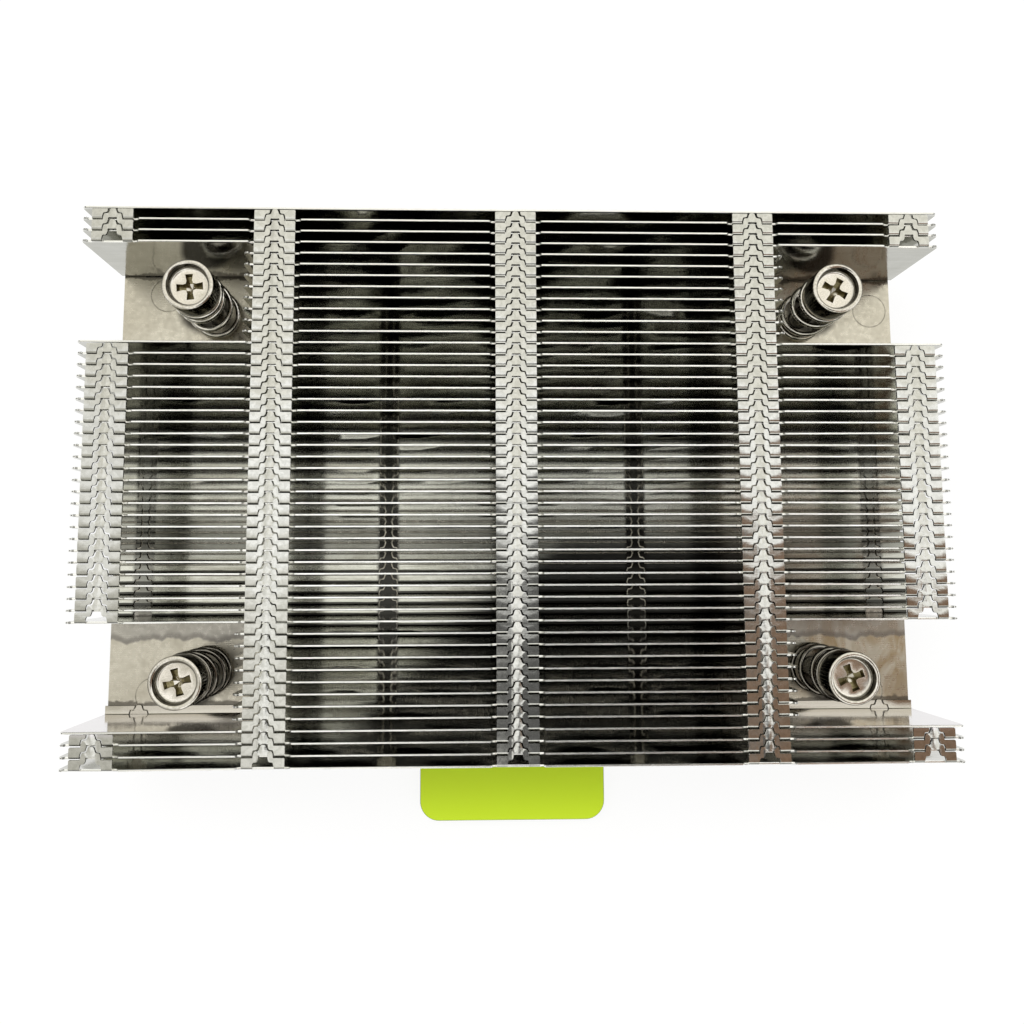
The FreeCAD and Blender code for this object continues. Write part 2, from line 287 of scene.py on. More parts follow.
# Grid lines down the middle of a tongue, as (distance from its middle, where they end)
STEM_LINES = ((-0.55, 1.1), (-0.28, 1.68), (0.0, 1.74), (0.28, 1.68), (0.55, 1.1))
STEM_START = 1.78
STEM_HALF = 0.72

# Half outlines, as (distance from the column's middle, distance in front of the fin)
KEYHOLE = ((1.53, 0.0), (1.5, 0.3), (1.38, 0.72), (1.28, 0.82), (0.92, 0.86), (0.76, 1.0),
           (0.62, 1.46), (0.67, 1.6), (0.58, 1.76), (0.3, 1.74))
TONGUE = ((1.39, 0.0), (1.34, 0.44), (1.21, 0.85), (1.11, 0.91), (0.74, 0.94), (0.57, 1.1),
          (0.42, 1.54), (0.34, 1.7), (0.18, 1.77))
PAD_INNER = ((0.7, 1.4), (0.76, 1.0), (0.92, 0.86), (1.28, 0.82), (1.38, 0.72), (1.5, 0.3),
             (1.53, 0.0))


def top_run(reach):
    """Place along the flat sheet of a point on a tab, given its reach in front of the fin."""
    return WALL_HIGH + ARC + reach - BEND if reach > 0.0 else WALL_HIGH


def foot_run(reach):
    """The same for a point on the foot flange."""
    return REACH - reach if reach > 0.0 else WALL_LOW + CLEAR


def tab_outline(middle, hooked):
    """Edge of one tab on the flat sheet, from its left root to its right root."""
    outer = [(TAB_HALF, 0.0), (TAB_HALF, REACH - 0.12), (TAB_HALF - 0.1, REACH)]
    half = [(x, top_run(reach)) for x, reach in outer]
    if hooked:
        half += [(x, top_run(REACH + reach)) for x, reach in TONGUE]
    else:
        half += [(x, top_run(reach)) for x, reach in PAD_INNER]
    left = [(middle - x, s) for x, s in half]
    return left + [(middle + x, s) for x, s in reversed(half)]


def hole_outline(middle, run):
    """Closed keyhole on the flat sheet, at a tab or at the foot."""
    half = [(x, run(reach)) for x, reach in KEYHOLE]
    return [(middle - x, s) for x, s in half] + [(middle + x, s) for x, s in reversed(half)]


def flat_pattern(half_length, hooked, padded, feet, split_feet):
    """Outer edge and holes of a stamped fin, laid flat, as (x, run along the sheet)."""
    columns = sorted((*hooked, *padded))
    foot = 0.0 if columns else WALL_LOW
    edge = [(-half_length, foot)]
    for middle in sorted((*feet, *split_feet)):
        if middle in feet:
            half = [(x, foot_run(REACH + reach)) for x, reach in TONGUE]
        else:
            half = [(x, foot_run(min(reach, REACH))) for x, reach in reversed(KEYHOLE[:8])]
        edge += [(middle - x, s) for x, s in half]
        edge += [(middle + x, s) for x, s in reversed(half)]
    edge.append((half_length, foot))

    top = []
    for i in range(4):
        turn = math.radians(90 * (1 - i / 3))
        top.append((-half_length + END_RADIUS * (1 - math.sin(turn)),
                    FREE_EDGE - END_RADIUS * (1 - math.cos(turn))))
    for middle in columns:
        for side, steps in ((-1, (RELIEF + RELIEF_SLOPE, RELIEF)),
                            (1, (RELIEF, RELIEF + RELIEF_SLOPE))):
            if side == 1:
                top += tab_outline(middle, middle in hooked)
            for step in steps:
                x = middle + side * (TAB_HALF + step)
                if abs(x) < half_length - END_RADIUS - CLEAR:
                    top.append((x, FREE_EDGE if step > RELIEF else RELIEF_LOW))
    corner = [(-x, s) for x, s in reversed(top[:4])]
    edge += [(x, s) for x, s in reversed(top + corner)]
    holes = [hole_outline(middle, top_run) for middle in hooked]
    holes += [hole_outline(middle, foot_run) for middle in feet]
    return edge, holes, columns


def inside(points, loop):
    """Which points lie inside a closed loop, by counting crossings."""
    loop = np.array(loop)
    following = np.roll(loop, -1, axis=0)
    x, y = points[:, :1], points[:, 1:]
    crosses = (loop[:, 1] > y) != (following[:, 1] > y)
    rise = np.where(following[:, 1] == loop[:, 1], 1e-12, following[:, 1] - loop[:, 1])
    at = loop[:, 0] + (y - loop[:, 1]) * (following[:, 0] - loop[:, 0]) / rise
    return (crosses & (x < at)).sum(1) % 2 == 1


def filled(points, links, edge, holes):
    """Points and triangles, all anticlockwise, of the plane inside an edge and round its holes."""
    found, _, faces, *_ = delaunay_2d_cdt(points, links, [], 0, 1e-5)
    flat = np.array([tuple(p) for p in found])
    triangles = np.array([f for f in faces if len(f) == 3])
    middles = flat[triangles].mean(1)
    keep = inside(middles, edge)
    for hole in holes:
        keep &= ~inside(middles, hole)
    triangles = triangles[keep]
    corner = flat[triangles]
    area = np.cross(corner[:, 1] - corner[:, 0], corner[:, 2] - corner[:, 0])
    triangles = np.where((area < 0)[:, None], triangles[:, ::-1], triangles)
    return flat, triangles[np.abs(area) > 1e-9]


def triangulate(edge, holes, columns, half_length):
    """Triangles of the flat sheet, cut along its fold lines and a grid on its wall."""
    points, links = [], []

    def chain(run, closed=True):
        """Adds a run of points, each linked to the next."""
        first = len(points)
        points.extend(Vector(p) for p in run)
        links.extend((first + i, first + i + 1) for i in range(len(run) - 1))
        if closed:
            links.append((len(points) - 1, first))

    chain(edge)
    for hole in holes:
        chain(hole)
    if columns:
        for i in range(FOLD_STEPS + 1):
            s = FOOT_END + ARC * i / FOLD_STEPS
            chain([(-half_length, s), (half_length, s)], closed=False)
        for middle in columns:
            for i in range(FOLD_STEPS + 1):
                s = WALL_HIGH + ARC * i / FOLD_STEPS
                chain([(middle - TAB_HALF, s), (middle + TAB_HALF, s)], closed=False)
            for x, end in STEM_LINES:
                chain([(middle + x, WALL_HIGH + ARC + CLEAR),
                       (middle + x, top_run(REACH) + end)], closed=False)
    for row in WALL_ROWS:
        chain([(-half_length, WALL_LOW + row), (half_length, WALL_LOW + row)], closed=False)
    for x in np.arange(-half_length + 4.0, half_length - 3.9, WALL_STEP):
        chain([(x, WALL_LOW), (x, WALL_HIGH)], closed=False)

    flat, triangles = filled(points, links, edge, holes)
    used, triangles = np.unique(triangles, return_inverse=True)
    return flat[used], triangles.reshape(-1, 3)


def folded(flat, on_tab):
    """Points of the sheet's middle layer and their normals after folding.

    The foot lies flat, turns up over a quarter circle into the wall, and the tabs turn over
    another quarter circle into the level top. Past the wall's end the free edge stays upright.
    """
    x, s = flat.T
    middle_z = SHEET / 2
    top_z = FIN_HEIGHT - middle_z - BEND
    y, z = np.zeros_like(s), middle_z + BEND + s - WALL_LOW
    ny, nz = np.full_like(s, -1.0), np.zeros_like(s)

    foot = s < FOOT_END
    y[foot], z[foot] = REACH - s[foot], middle_z
    ny[foot], nz[foot] = 0.0, -1.0
    turn = (s >= FOOT_END) & (s < WALL_LOW)
    angle = (s[turn] - FOOT_END) / BEND
    y[turn], z[turn] = BEND * (1 - np.sin(angle)), middle_z + BEND * (1 - np.cos(angle))
    ny[turn], nz[turn] = -np.sin(angle), -np.cos(angle)

    over = on_tab & (s > WALL_HIGH) & (s <= WALL_HIGH + ARC)
    angle = (s[over] - WALL_HIGH) / BEND
    y[over], z[over] = BEND * (1 - np.cos(angle)), top_z + BEND * np.sin(angle)
    ny[over], nz[over] = -np.cos(angle), np.sin(angle)
    level = on_tab & (s > WALL_HIGH + ARC)
    y[level], z[level] = BEND + s[level] - WALL_HIGH - ARC, top_z + BEND
    ny[level], nz[level] = 0.0, 1.0
    return np.stack([x, y, z], 1), np.stack([np.zeros_like(x), ny, nz], 1)


def sheet_mesh(edge, holes, columns, half_length):
    """Folded fin: points, faces, faces of the sheared edge, and for each point its reach in
    front of the fin and whether it lies on a tab. The edge is a flat crest between two slopes.
    """
    flat, triangles = triangulate(edge, holes, columns, half_length)
    near = np.array([min(abs(x - c) for c in columns) if columns else 99.0 for x in flat[:, 0]])
    on_tab = (near <= TAB_HALF + 1e-4) & (flat[:, 1] > WALL_HIGH - 1e-4)
    middle, normal = folded(flat, on_tab)
    count = len(flat)
    outer, inner = middle + normal * SHEET / 2, middle - normal * SHEET / 2

    sides = np.concatenate([triangles[:, [0, 1]], triangles[:, [1, 2]], triangles[:, [2, 0]]])
    known = {tuple(pair) for pair in sides}
    rim = np.array([pair for pair in sides if (pair[1], pair[0]) not in known])
    outward = np.zeros_like(flat)
    run = flat[rim[:, 1]] - flat[rim[:, 0]]
    run = np.stack([run[:, 1], -run[:, 0]], 1) / np.linalg.norm(run, axis=1)[:, None]
    np.add.at(outward, rim[:, 0], run)
    np.add.at(outward, rim[:, 1], run)
    length = np.linalg.norm(outward, axis=1)[:, None]
    outward = outward / np.maximum(length, 1e-9)
    bulge = np.where(on_tab | (flat[:, 1] < WALL_LOW), TAB_BULGE, EDGE_BULGE)[:, None]
    crest, across = folded(flat + outward * bulge, on_tab)
    flat_half = (SHEET / 2 - EDGE_BULGE) * across

    points = np.concatenate([outer, inner, crest + flat_half, crest - flat_half])
    a, b = rim.T
    faces = [*triangles, *(triangles[:, ::-1] + count)]
    edges = []
    for upper, lower in ((0, 2), (2, 3), (3, 1)):
        edges += list(np.stack([b + upper * count, a + upper * count,
                                a + lower * count, b + lower * count], 1))
    reach = np.where(on_tab, middle[:, 1], 0.0)
    return points, faces, edges, np.tile(reach, 4), np.tile(on_tab, 4)


def make_piece(name, points, faces, materials, slots=None, sharp=40.0):
    """Mesh object from points in millimetres, smooth apart from edges over the sharp angle."""
    mesh = bpy.data.meshes.new(name)
    mesh.from_pydata([tuple(p) for p in np.asarray(points) * MM], [],
                     [tuple(int(i) for i in face) for face in faces])
    for material in materials:
        mesh.materials.append(material)
    if slots is not None:
        mesh.polygons.foreach_set("material_index", np.asarray(slots, dtype=np.int32))
    mesh.update()
    mesh.validate()
    mesh.shade_smooth()
    mesh.set_sharp_from_angle(angle=math.radians(sharp))
    piece = bpy.data.objects.new(name, mesh)
    bpy.context.scene.collection.objects.link(piece)
    return piece


def sheet_material():
    """Mirror-bright nickel on rolled sheet: faint rolling lines along the fin and cloudy haze.
    The foot is duller, with shade painted dark in its fold and round its keyholes, and a dark
    reflection painted on it towards the pull tab; the wall is painted darker than the tab tops, as
    shade between the fins, and the tabs were rubbed and dented a little when they were pressed
    down.
    """
    material, tree, shader = new_material("bright_nickel_sheet", Metallic=1.0, Roughness=0.12)
    place = object_space(tree)
    parts = add(tree, "ShaderNodeSeparateXYZ", {"Vector": place}).outputs
    rise = math_node(tree, "SUBTRACT", parts["Z"], PLATE_TOP)
    from_middle = math_node(tree, "ABSOLUTE", parts["X"])
    foot = span(tree, rise, 0.4, 0.6, 1.0, 0.0)
    on_top = span(tree, rise, FIN_HEIGHT - 0.6, FIN_HEIGHT - 0.4)
    cloud = noise(tree, place, 0.16, 4.0, 0.6, 0.5)
    rolled = noise(tree, object_space(tree, (0.05, 1.4, 1.4)), 1.0, 4.0, 0.6)
    grain = noise(tree, place, 5.0, 3.0, 0.6)
    dents = noise(tree, place, 1.3, 2.0, 0.5, 0.4)

    # painted shade and light: the wall's colour is darker than the tab tops' below, as shade down
    # between the fins, and the tab tops are painted lighter, as if lit
    wall = blend_colours(tree, span(tree, cloud, 0.3, 0.7), "C0C0B9", "B0B0A8")
    wall = blend_colours(tree, span(tree, rolled, 0.35, 0.75, 0.0, 0.35), wall, "9C9C93")
    on_tongue = 0.0
    for column in COLUMNS[2:]:
        away = distance_to(tree, from_middle, column)
        on_tongue = math_node(tree, "MAXIMUM", on_tongue, span(tree, away, 0.6, 0.9, 1.0, 0.15))
    on_tongue = product(tree, on_tongue, on_top)
    scuffed = product(tree, span(tree, dents, 0.42, 0.58), on_top, 0.3)
    bright = blend_colours(tree, scuffed, "D2D2CC", "A6A69E")
    floor = blend_colours(tree, span(tree, cloud, 0.3, 0.7), "E2E2D6", "C9C9BC")
    colour = blend_colours(tree, on_top, wall, bright)
    colour = blend_colours(tree, foot, colour, floor)

    stained = noise(tree, object_space(tree, (0.05, 0.35, 0.0)), 1.0, 4.0, 0.6, 0.6)
    stained = product(tree, span(tree, stained, 0.5, 0.62, 0.0, 0.4), foot)
    colour = blend_colours(tree, stained, colour, "8A8472")

    # dark reflection painted onto the feet near the pull tab, reaching furthest right of the
    # middle, with a painted dark stripe across the feet further in
    front = span(tree, parts["X"], -28.0, 8.0, -35.5, -6.5)
    ahead = math_node(tree, "SUBTRACT", parts["Y"], front)
    painted_dark_reflection = product(tree, span(tree, ahead, -4.0, 4.0, 0.96, 0.0, smooth=True),
                   span(tree, parts["X"], 36.0, 46.0, 1.0, 0.3),
                   span(tree, parts["X"], -42.0, -36.0))
    painted_dark_stripe = product(tree, span(tree, parts["Y"], -12.0, -9.0, smooth=True),
                     span(tree, parts["Y"], -6.5, -4.0, 0.6, 0.0, smooth=True))
    painted_dark_reflection = product(tree, math_node(tree, "MAXIMUM", painted_dark_reflection, painted_dark_stripe), foot)
    colour = blend_colours(tree, painted_dark_reflection, colour, "20201F")

    # shade painted dark in the fold and at the front of every foot, and in the foot keyholes in
    # the stack
    from_last = math_node(tree, "SUBTRACT", parts["Y"], box_mm("fin_49")[0][1] + SHEET / 2)
    across = math_node(tree, "FRACT", math_node(tree, "DIVIDE", from_last, PITCH))
    ragged = total(tree, across, product(tree, cloud, 0.16))
    fold_and_hole_shade = math_node(tree, "MAXIMUM", span(tree, ragged, 0.4, 0.46, 1.0, 0.0),
                     span(tree, across, 0.78, 0.84))
    open_end = product(tree, span(tree, from_middle, 39.0, 40.0),
                       span(tree, parts["Y"], 32.0, 33.0))
    fold_and_hole_shade = product(tree, fold_and_hole_shade, span(tree, rise, 0.5, 0.8, 0.9, 0.0),
                   span(tree, open_end, 0.0, 1.0, 1.0, 0.3))
    inside_stack = span(tree, math_node(tree, "ABSOLUTE", parts["Y"]), 31.0, 32.0, 1.0, 0.0)
    for column, strength in zip(FOOT_COLUMNS[2:], (0.96, 0.6)):
        away = total(tree, distance_to(tree, from_middle, column), product(tree, dents, 0.5))
        hole = product(tree, span(tree, away, 1.6, 2.1, strength, 0.0), inside_stack, foot)
        fold_and_hole_shade = math_node(tree, "MAXIMUM", fold_and_hole_shade, hole)
    colour = blend_colours(tree, fold_and_hole_shade, colour, "1D1C19")

    # painted highlight: a lighter colour on the outer face of the fin that closes the near screw
    # corners
    corner = product(tree, span(tree, from_middle, 38.5, 39.5),
                     span(tree, parts["Y"], -35.4, -35.0),
                     span(tree, parts["Y"], -33.2, -33.0, 1.0, 0.0))
    colour = blend_colours(tree, corner, colour, blend_colours(tree, foot, "DEDBDC", "C6C1B4"))
    tree.links.new(colour, shader.inputs["Base Color"])

    rough = span(tree, total(tree, rolled, product(tree, grain, 0.6)), 0.5, 1.1, 0.05, 0.15)
    rough = total(tree, rough, product(tree, foot, 0.05), product(tree, on_tongue, 0.08))
    tree.links.new(rough, shader.inputs["Roughness"])
    height = total(tree, rolled, product(tree, grain, 0.15), product(tree, cloud, 3.0),
                   product(tree, dents, on_tongue, 2.5))
    set_bump(tree, shader, height, 0.3, 0.00003)
    return material


def sheared_material():
    """Sheared edge of the sheet: paler and less glossy than its faces, darker near the foot, with
    a dark line painted as shade in the gap where the edges of two tabs meet.
    """
    material, tree, shader = new_material("sheared_nickel_edge", Metallic=1.0, Roughness=0.25)
    grain = noise(tree, object_space(tree, (0.4, 3.0, 3.0)), 1.0, 3.0)
    colour = blend_colours(tree, span(tree, grain, 0.3, 0.7), "FFFFFC", "F2F2EC")
    parts = add(tree, "ShaderNodeSeparateXYZ", {"Vector": object_space(tree)}).outputs
    height = parts["Z"]
    darker_near_foot = span(tree, height, PLATE_TOP + 0.6, PLATE_TOP + 1.6, 1.0, 0.0)
    colour = blend_colours(tree, darker_near_foot, colour, "6B685E")
    top = PLATE_TOP + FIN_HEIGHT
    cut = product(tree, span(tree, height, top - 0.4, top - 0.3),
                  span(tree, height, top - 0.1, top - 0.06, 1.0, 0.0))
    from_middle = math_node(tree, "ABSOLUTE", parts["X"])
    at_tab = 0.0
    for column in COLUMNS[2:]:
        away = distance_to(tree, from_middle, column)
        at_tab = math_node(tree, "MAXIMUM", at_tab, span(
            tree, away, TAB_HALF - 0.1, TAB_HALF, 0.9, 0.0))
    # painted shade: the edges where two tabs meet are darkened as the gap between them
    colour = blend_colours(tree, product(tree, cut, at_tab), colour, "2E2C27")
    tree.links.new(colour, shader.inputs["Base Color"])
    tree.links.new(span(tree, grain, 0.3, 0.7, 0.2, 0.32), shader.inputs["Roughness"])
    set_bump(tree, shader, grain, 0.2, 0.00003)
    return material


NICKEL_SHEET = sheet_material()
SHEARED_EDGE = sheared_material()
OUTER_COLUMNS = (COLUMNS[0], COLUMNS[4])
OUTER_FEET, INNER_FEET = FOOT_COLUMNS[::3], FOOT_COLUMNS[1:3]
FORMS = {
    "end": (LONG_HALF, (), (), (), ()),
    "second": (LONG_HALF, (), COLUMNS, (), FOOT_COLUMNS),
    "third": (LONG_HALF, COLUMNS, (), (), FOOT_COLUMNS),
    "long": (LONG_HALF, COLUMNS, (), FOOT_COLUMNS, ()),
    "group": (LONG_HALF, INNER_COLUMNS, (), INNER_FEET, OUTER_FEET),
    "group_second": (LONG_HALF, INNER_COLUMNS, OUTER_COLUMNS, FOOT_COLUMNS, ()),
    "short": (SHORT_HALF, INNER_COLUMNS, (), INNER_FEET, ()),
}
SHORT_ROWS = {*range(5, 13), *range(38, 46)}
FIN_COUNT = 49
form_meshes = {}
for form, (half_length, hooked, padded, feet, split_feet) in FORMS.items():
    edge, holes, columns = flat_pattern(half_length, hooked, padded, feet, split_feet)
    form_meshes[form] = sheet_mesh(edge, holes, columns, half_length)


def fin_form(number):
    """Name of the form that a fin is stamped in."""
    if number <= 3:
        return ("end", "second", "third")[number - 1]
    if number in SHORT_ROWS:
        return "short"
    if number - 1 in SHORT_ROWS:
        return "group"
    return "group_second" if number - 2 in SHORT_ROWS else "long"


chance = np.random.default_rng(49)
for number in range(1, FIN_COUNT + 1):
    points, faces, edges, reach, on_tab = form_meshes[fin_form(number)]
    shape = points.copy()
    x, z = shape[:, 0], shape[:, 2]

    # slight bow of the free edge between the columns, none at the tabs and the foot
    between = np.sin(np.pi * x / COLUMNS[3]) ** 2
    wave = sum(chance.normal(0.0, 0.035) * np.sin(x / size + chance.uniform(0, 6.3))
               for size in (3.1, 6.7, 12.0))
    shape[:, 1] += wave * between * (z / FIN_HEIGHT) ** 2

    # every tab sits a little out of level; its tongue is pressed down at the tip and crowned
    for middle in COLUMNS:
        mine = on_tab & (np.abs(x - middle) < 4.0)
        nod, lean = chance.normal(0.0, 0.012), chance.normal(0.0, 0.009)
        drop = chance.normal(0.03, 0.008)
        across = np.abs(x - middle)
        past = reach - STEM_START
        stem = np.clip((STEM_HALF - across) / 0.1, 0.0, 1.0) * np.clip(past / 0.4, 0.0, 1.0)
        shape[:, 2] += mine * (nod * reach + lean * (x - middle))
        shape[:, 2] -= mine * stem * (drop * past + 0.3 * across ** 2)
    low = box_mm(f"fin_{number:02d}")[0]

    # tongues that meet a plain wall, with no keyhole in it, stop just short of it
    if number in (3, 15, 48):
        reached = np.minimum(shape[:, 1], 2 * PITCH - SHEET / 2 - CLEAR)
        shape[:, 1] = np.where((number == 3) | (np.abs(x) > SHORT_HALF), reached, shape[:, 1])
    shape += (0.0, low[1] + SHEET / 2, PLATE_TOP)
    slots = np.repeat([0, 1], [len(faces), len(edges)])
    fin = make_piece(f"folded_fin_{number:02d}", shape, [*faces, *edges],
                     (NICKEL_SHEET, SHEARED_EDGE), slots)
    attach(fin, "heatsink")
    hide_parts(f"fin_{number:02d}")

# ---------------------------------------------------------------------------------------------
# Captive screws: turned from steel bar and nickel plated. A drum head with a raised rim round a
# satin disc, a cross recess struck into it, a smooth neck and an M4 thread below the plate.
# ---------------------------------------------------------------------------------------------
AROUND = 96
ANGLE = np.arange(AROUND) * math.tau / AROUND
SPRING_HEIGHT = 12.0
NECK_RADIUS = 1.525
THREAD_RADIUS = 2.0
THREAD_TOP = box_mm("base_plate")[0][2] + 2.85
# Faces of the head's profile painted dark, as shade and a dark reflection: its groove, its side
# and the wall inside its rim
PAINTED_DARK_FACES = (4, 7, 12, 13)


def ring_points(radius, height):
    """Closed ring of points round the axis. The radius is one value, or one for each point."""
    return np.stack([radius * np.cos(ANGLE), radius * np.sin(ANGLE), np.full(AROUND, height)], 1)


def bands(first, rings, around):
    """Faces between rings of points that follow each other, outward if the rings go upwards."""
    faces = []
    for i in range(rings - 1):
        a = first + i * around + np.arange(around)
        b = first + i * around + (np.arange(around) + 1) % around
        faces += list(np.stack([a, b, b + around, a + around], 1))
    return faces


def cross_outline(reach, half_width, fillet):
    """Outline of a cross with rounded inner corners and arms that widen to their ends."""
    quarter = [(reach, -half_width), (reach, half_width), (half_width + fillet, half_width * 0.72),
               (half_width * 0.93, half_width * 0.93), (half_width * 0.72, half_width + fillet)]
    outline = []
    for i in range(4):
        c, s = math.cos(i * math.pi / 2), math.sin(i * math.pi / 2)
        outline += [(c * x - s * y, s * x + c * y) for x, y in quarter]
    return np.array(outline)


def screw_parts(head_radius, neck_radius, thread_radius, head_low, head_high, tip, stop):
    """Points, faces and face slots of a screw: 0 plated, 1 satin disc, 2 recess, 3 thread,
    4 the sides of the head and the neck, painted dark as shade and reflection.
    """
    disc = 2.55
    cup = head_high - 1.25
    profile = [(neck_radius, head_low + 0.02), (head_radius - 0.25, head_low),
               (head_radius - 0.04, head_low + 0.1), (head_radius, head_low + 0.25),
               (head_radius, head_low + 0.62), (head_radius - 0.12, head_low + 0.7),
               (head_radius - 0.12, head_low + 0.82), (head_radius, head_low + 0.9),
               (head_radius, head_high - 0.28), (head_radius - 0.06, head_high - 0.1),
               (head_radius - 0.2, head_high - 0.01), (head_radius - 0.42, head_high),
               (head_radius - 0.62, head_high - 0.1), (head_radius - 0.7, head_high - 0.28),
               (head_radius - 0.78, cup + 0.3), (disc + 0.12, cup + 0.04), (disc, cup)]
    points = np.concatenate([ring_points(r, z) for r, z in profile])
    faces = bands(0, len(profile), AROUND)
    slots = np.repeat([4 if i in PAINTED_DARK_FACES else 0 for i in range(len(profile) - 1)],
                      AROUND).tolist()

    # disc with the cross cut out of it
    circle = ring_points(disc, cup)[:, :2]
    cross = cross_outline(1.9, 0.56, 0.38)
    flat = [Vector(p) for p in (*circle, *cross)]
    count, arms = AROUND, len(cross)
    links = [(i, (i + 1) % count) for i in range(count)]
    links += [(count + i, count + (i + 1) % arms) for i in range(arms)]
    found, triangles = filled(flat, links, circle, [cross])
    base = len(points)
    dome = 0.1 * (1 - (found ** 2).sum(1) / disc ** 2)
    points = np.concatenate([points, np.column_stack([found, cup + dome])])
    last_ring = (len(profile) - 1) * AROUND
    nearest = [last_ring + i if i < AROUND else base + i for i in range(len(found))]
    faces += [[nearest[i] for i in t] for t in triangles]
    slots += [1] * len(triangles)

    # recess: walls that close in, wings that slope inwards, and a faceted point in the middle
    inner = [(cross_outline(1.66, 0.46, 0.28), cup - 0.62),
             (cross_outline(0.78, 0.34, 0.1), cup - 1.0)]
    low = len(points)
    points = np.concatenate([points, *(np.column_stack([ring, np.full(arms, z)])
                                       for ring, z in inner), [[0.0, 0.0, cup - 1.35]]])
    for i in range(arms):
        j = (i + 1) % arms
        faces.append([base + count + i, base + count + j, low + j, low + i])
        faces.append([low + i, low + j, low + arms + j, low + arms + i])
        faces.append([low + arms + i, low + arms + j, low + 2 * arms])
        slots += [2, 2, 0]

    # neck and thread: the thread's radius follows a rounded V along a helix
    start = len(points)
    body = [ring_points(neck_radius, z) for z in (head_low, stop + 0.1, stop)]
    pitch, depth, tip_radius = 0.7, 0.38, 1.3
    for z in np.linspace(stop, tip + 0.35, 64):
        phase = (z / pitch + ANGLE / math.tau) % 1.0
        tooth = np.clip(1.4 * (1 - np.abs(2 * phase - 1)) - 0.1, 0.0, 1.0)
        fade = min(1.0, (z - tip) / 0.6, (stop - z) / 0.3 + 0.3)
        body.append(ring_points(thread_radius - depth + depth * tooth * max(fade, 0.0), z))
    body.append(ring_points(tip_radius, tip))
    points = np.concatenate([points, *body])
    sides = [face[::-1] for face in bands(start, len(body), AROUND)]
    neck_faces = 2 * AROUND
    slots += [4] * neck_faces + [3] * (len(sides) - neck_faces + 1)
    faces += [*sides, np.arange(len(points) - AROUND, len(points))[::-1]]
    return points, faces, slots


def plated_steel(name, light, dark, smooth, rough, scale):
    """Nickel-plated steel with turning marks round its axis and fine pits."""
    material, tree, shader = new_material(name, Metallic=1.0, Roughness=smooth)
    place = object_space(tree)
    pits = noise(tree, place, scale, 4.0, 0.65)
    lines = noise(tree, object_space(tree, (0.3, 0.3, 6.0)), 1.0, 2.0)
    colour = blend_colours(tree, span(tree, pits, 0.35, 0.7), light, dark)
    tree.links.new(colour, shader.inputs["Base Color"])
    tree.links.new(span(tree, pits, 0.3, 0.75, smooth, rough), shader.inputs["Roughness"])
    set_bump(tree, shader, total(tree, pits, product(tree, lines, 0.5)), 0.25, 0.00003)
    return material


SCREW_MATERIALS = (
    plated_steel("nickel_plated_steel", "E3DFD6", "C6C1B4", 0.1, 0.2, 3.0),
    plated_steel("satin_screw_disc", "E9E4DA", "D3CDBF", 0.14, 0.24, 7.0),
    plated_steel("struck_recess", "9A9170", "6F6748", 0.25, 0.45, 5.0),
    plated_steel("rolled_thread", "CFCBC0", "A8A294", 0.2, 0.34, 4.0),
    # shade and a dark reflection painted into the colour of the head's side and groove, the wall
    # inside its rim and the neck
    plated_steel("head_side_painted_dark", "5A574E", "33312C", 0.05, 0.12, 1.5),
)
# Degrees that each cross is turned by
HEAD_TURNS = {"far_left": 5.0, "far_right": 62.0, "near_left": 15.0, "near_right": 20.0}
head_low = PLATE_TOP + SPRING_HEIGHT
for corner in CORNERS:
    low, high = box_mm(f"screw_{corner}")
    place = (low + high) / 2
    points, faces, slots = screw_parts((high[0] - low[0]) / 2, NECK_RADIUS, THREAD_RADIUS,
                                       head_low, high[2], low[2], THREAD_TOP)
    turn = math.radians(HEAD_TURNS[corner])
    c, s = math.cos(turn), math.sin(turn)
    points = points @ np.array([[c, s, 0], [-s, c, 0], [0, 0, 1]])
    points += (place[0], place[1], 0.0)
    screw = make_piece(f"screw_body_{corner}", points, faces, SCREW_MATERIALS, slots, 38.0)
    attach(screw, f"{corner}_screw")
    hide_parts(f"screw_{corner}")

# ---------------------------------------------------------------------------------------------
# Springs: hard-drawn round wire, coiled with closed ends. They stand between the plate and the
# screw heads.
# ---------------------------------------------------------------------------------------------
WIRE_RADIUS = 0.4
COIL_RADIUS = 3.45
END_GAP = 0.05
COIL_STARTS = {"far_left": 20.0, "far_right": 110.0, "near_left": 200.0, "near_right": 290.0}
SPRING_TURNS = 4


def spring_material():
    """Bright drawn steel wire with lengthwise drawing marks, painted darker towards the pull tab
    as shade on the near springs.
    """
    material, tree, shader = new_material("drawn_spring_steel", Metallic=1.0, Roughness=0.16)
    place = object_space(tree)
    cloud = noise(tree, place, 1.2, 4.0, 0.6)
    side = add(tree, "ShaderNodeSeparateXYZ", {"Vector": place}).outputs["Y"]
    # painted shade: the wire's colour is darker towards the pull tab
    colour = blend_colours(tree, span(tree, side, -28.0, 28.0), "8F8B83", "F1EEE6")
    colour = blend_colours(tree, span(tree, cloud, 0.35, 0.7, 0.0, 0.35), colour, "7F7B73")
    tree.links.new(colour, shader.inputs["Base Color"])
    tree.links.new(span(tree, cloud, 0.3, 0.7, 0.05, 0.1), shader.inputs["Roughness"])
    set_bump(tree, shader, noise(tree, place, 9.0, 3.0), 0.15, 0.00002)
    return material


